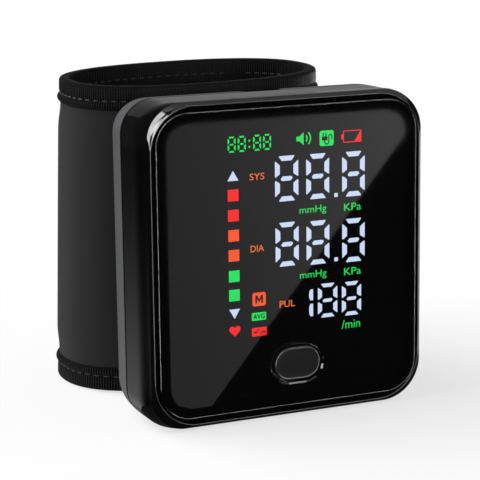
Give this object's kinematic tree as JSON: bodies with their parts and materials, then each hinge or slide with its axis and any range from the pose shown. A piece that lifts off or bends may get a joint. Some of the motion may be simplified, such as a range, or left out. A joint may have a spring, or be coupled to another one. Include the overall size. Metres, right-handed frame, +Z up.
{
  "type": "wrist blood pressure monitor",
  "caption": "Wrist blood pressure monitor: a lit display unit with a start button on a padded wrap-round cuff.",
  "frame": {"origin": "middle of the footprint of the closed monitor, on the surface it stands on", "axes": "+Z up, display facing -Y, cuff behind it towards +Y, +X to the right as the display is read"},
  "size_m": [0.0678, 0.0732, 0.0694],
  "materials": {
    "case_front": "satin black moulded plastic",
    "case_rear": "fine matt black moulded plastic",
    "lens": "polished smoked window",
    "gasket": "matt",
    "button": "matt charcoal",
    "switch_tip": "natural",
    "switch_case": "matt black",
    "light_box": "white",
    "legend": "black film with lit windows",
    "circuit_board": "solder mask",
    "chip": "matt",
    "sensor": "matt",
    "socket": "plain",
    "cell": "foil pouch",
    "motor": "plated",
    "foam": "matt foam rubber",
    "crank": "plain",
    "pump_case": "natural white",
    "diaphragm": "matt",
    "valve_case": "plated",
    "valve_core": "plain",
    "air_tube": "translucent silicone",
    "screws": "plain",
    "plate": "matt black",
    "cuff_cloth": "fine matt charcoal cloth",
    "cuff_spring": "plain sheet",
    "bladder": "matt",
    "lining": "brushed black cloth",
    "binding": "ribbed black edge tape",
    "tail_cloth": "woven black",
    "hook": "hook tape",
    "loop": "loop pile"
  },
  "bodies": {
    "monitor": {"front_shell": "case_front", "rear_cover": "case_rear", "front_lens": "lens", "lens_gasket": "gasket", "switch_body": "switch_case", "display_light_box": "light_box", "legend_film": "legend", "main_board": "circuit_board", "charge_board": "circuit_board", "controller_chip": "chip", "buzzer": "chip", "pressure_sensor": "sensor", "charging_socket": "socket", "battery_pack": "cell", "pump_motor": "motor", "pump_sleeve": "foam", "pump_head": "pump_case", "pump_diaphragm": "diaphragm", "valve_body": "valve_case", "air_manifold": "air_tube", "cuff_tube": "air_tube", "case_screw_1": "screws", "case_screw_2": "screws", "case_screw_3": "screws", "case_screw_4": "screws", "cuff_screw_1": "screws", "cuff_screw_2": "screws", "cuff_screw_3": "screws", "cuff_screw_4": "screws", "cuff_mount_plate": "plate", "cuff_cover": "cuff_cloth", "cuff_core": "cuff_spring", "air_bladder": "bladder", "cuff_lining": "lining", "upper_binding": "binding", "lower_binding": "binding", "loop_patch": "loop"},
    "button": {"start_button": "button", "switch_plunger": "switch_tip"},
    "crank": {"pump_crank": "crank"},
    "plunger": {"valve_plunger": "valve_core"},
    "tail": {"cuff_tail": "tail_cloth", "hook_patch": "hook"}
  },
  "joints": [
    {"name": "button_press", "type": "slide", "parent": "monitor", "child": "button", "axis": [0, 1, 0], "range_m": [0, 0.0005], "stiffness_N_per_m": 3000},
    {"name": "pump_spin", "type": "hinge", "parent": "monitor", "child": "crank", "pos_m": [-0.00483, -0.01984, 0.0205], "axis": [1, 0, 0], "continuous": true},
    {"name": "valve_stroke", "type": "slide", "parent": "monitor", "child": "plunger", "axis": [1, 0, 0], "range_m": [0, 0.0008], "stiffness_N_per_m": 400},
    {"name": "tail_peel", "type": "hinge", "parent": "monitor", "child": "tail", "pos_m": [-0.00061, 0.03386, 0.0347], "axis": [-0.0002, -0.0173, 0.9999], "range_deg": [0, 80]}
  ]
}
